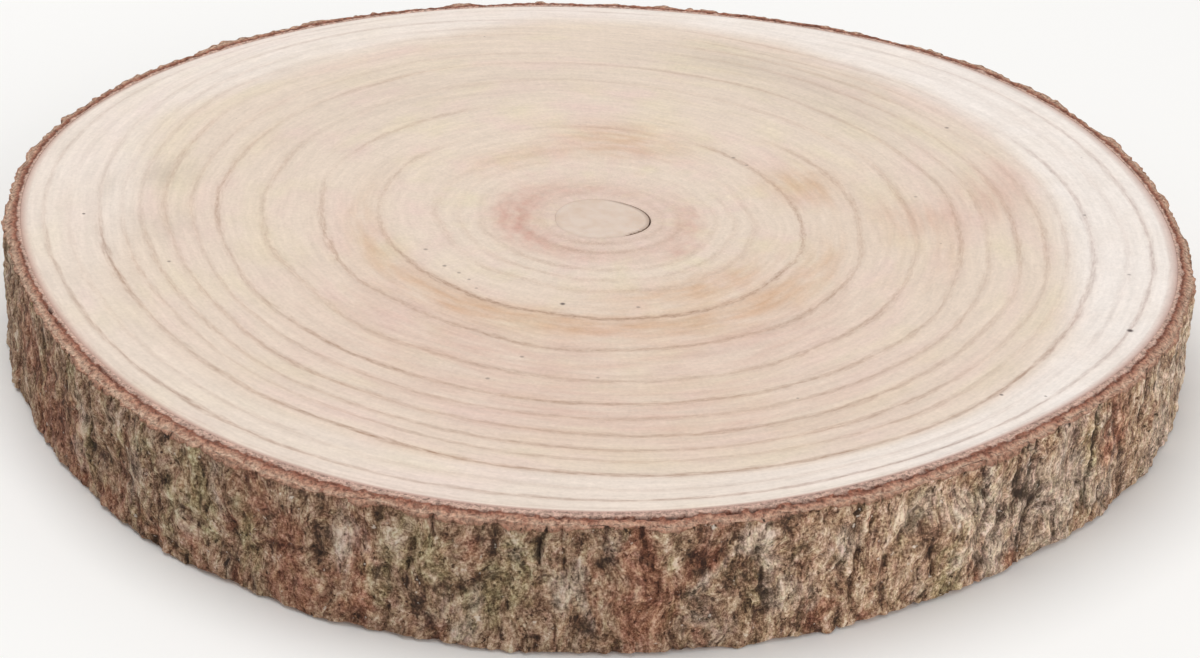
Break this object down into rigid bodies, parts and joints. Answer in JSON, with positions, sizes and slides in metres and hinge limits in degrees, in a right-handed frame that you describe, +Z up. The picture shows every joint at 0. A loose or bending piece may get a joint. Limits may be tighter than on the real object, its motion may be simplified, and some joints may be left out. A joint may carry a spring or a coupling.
{
  "type": "wood slice",
  "caption": "Flat round slice sawn across a young trunk, bare pale wood with growth rings inside a rough ring of bark, for use as a stand or plate.",
  "frame": {"origin": "the middle of the slice's box, on the lower saw cut, which is the surface it lies on", "axes": "+Z up along the grain, out of the upper saw cut; -Y towards the front of the picture; +X to the picture's right"},
  "size_m": [0.3014, 0.3012, 0.033],
  "materials": {
    "sawn_wood": "sawn and sanded bare end grain, matt",
    "bark": "rough grey-brown bark with pale lichen and a red-brown inner layer",
    "pith": "smooth matt filler"
  },
  "bodies": {
    "root": {"wood_disc": "sawn_wood", "bark_ring": "bark", "pith_plug": "pith"}
  },
  "joints": []
}
